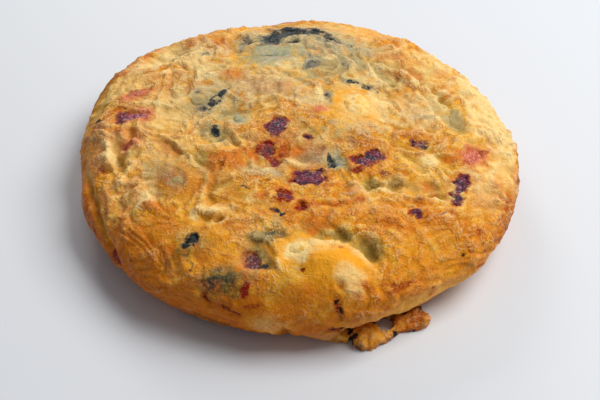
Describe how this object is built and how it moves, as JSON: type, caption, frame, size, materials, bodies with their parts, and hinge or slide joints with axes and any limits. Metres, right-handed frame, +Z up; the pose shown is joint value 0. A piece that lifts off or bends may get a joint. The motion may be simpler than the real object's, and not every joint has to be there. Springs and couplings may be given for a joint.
{
  "type": "spanish omelette",
  "caption": "Whole thick round potato omelette, fried golden on both sides, with chorizo and courgette set in the top and a crisp scrap of fried egg at the base.",
  "frame": {"origin": "middle of the flat base, on the surface that the omelette lies on", "axes": "+Z up through the thickness, -Y towards the crisp scrap of fried egg at the front, +X to the right of it"},
  "size_m": [0.1658, 0.1698, 0.0334],
  "materials": {
    "egg": "fried set egg, golden with orange-brown flecks, slightly oily",
    "chorizo": "cured red sausage, moist and oily",
    "courgette_skin": "cooked dark green courgette skin, moist",
    "courgette_flesh": "cooked pale grey-green courgette flesh, moist and a little translucent",
    "potato": "boiled and fried potato, pale yellow, waxy"
  },
  "bodies": {
    "root": {"egg": "egg", "chorizo_1": "chorizo", "chorizo_2": "chorizo", "chorizo_3": "chorizo", "chorizo_4": "chorizo", "chorizo_5": "chorizo", "chorizo_6": "chorizo", "chorizo_7": "chorizo", "chorizo_8": "chorizo", "chorizo_9": "chorizo", "chorizo_10": "chorizo", "chorizo_11": "chorizo", "chorizo_12": "chorizo", "courgette_skin_1": "courgette_skin", "courgette_skin_2": "courgette_skin", "courgette_skin_3": "courgette_skin", "courgette_skin_4": "courgette_skin", "courgette_skin_5": "courgette_skin", "courgette_skin_6": "courgette_skin", "courgette_flesh_1": "courgette_flesh", "courgette_flesh_2": "courgette_flesh", "courgette_flesh_3": "courgette_flesh", "courgette_flesh_4": "courgette_flesh", "courgette_flesh_5": "courgette_flesh", "potato_1": "potato", "potato_2": "potato", "potato_3": "potato"}
  },
  "joints": []
}
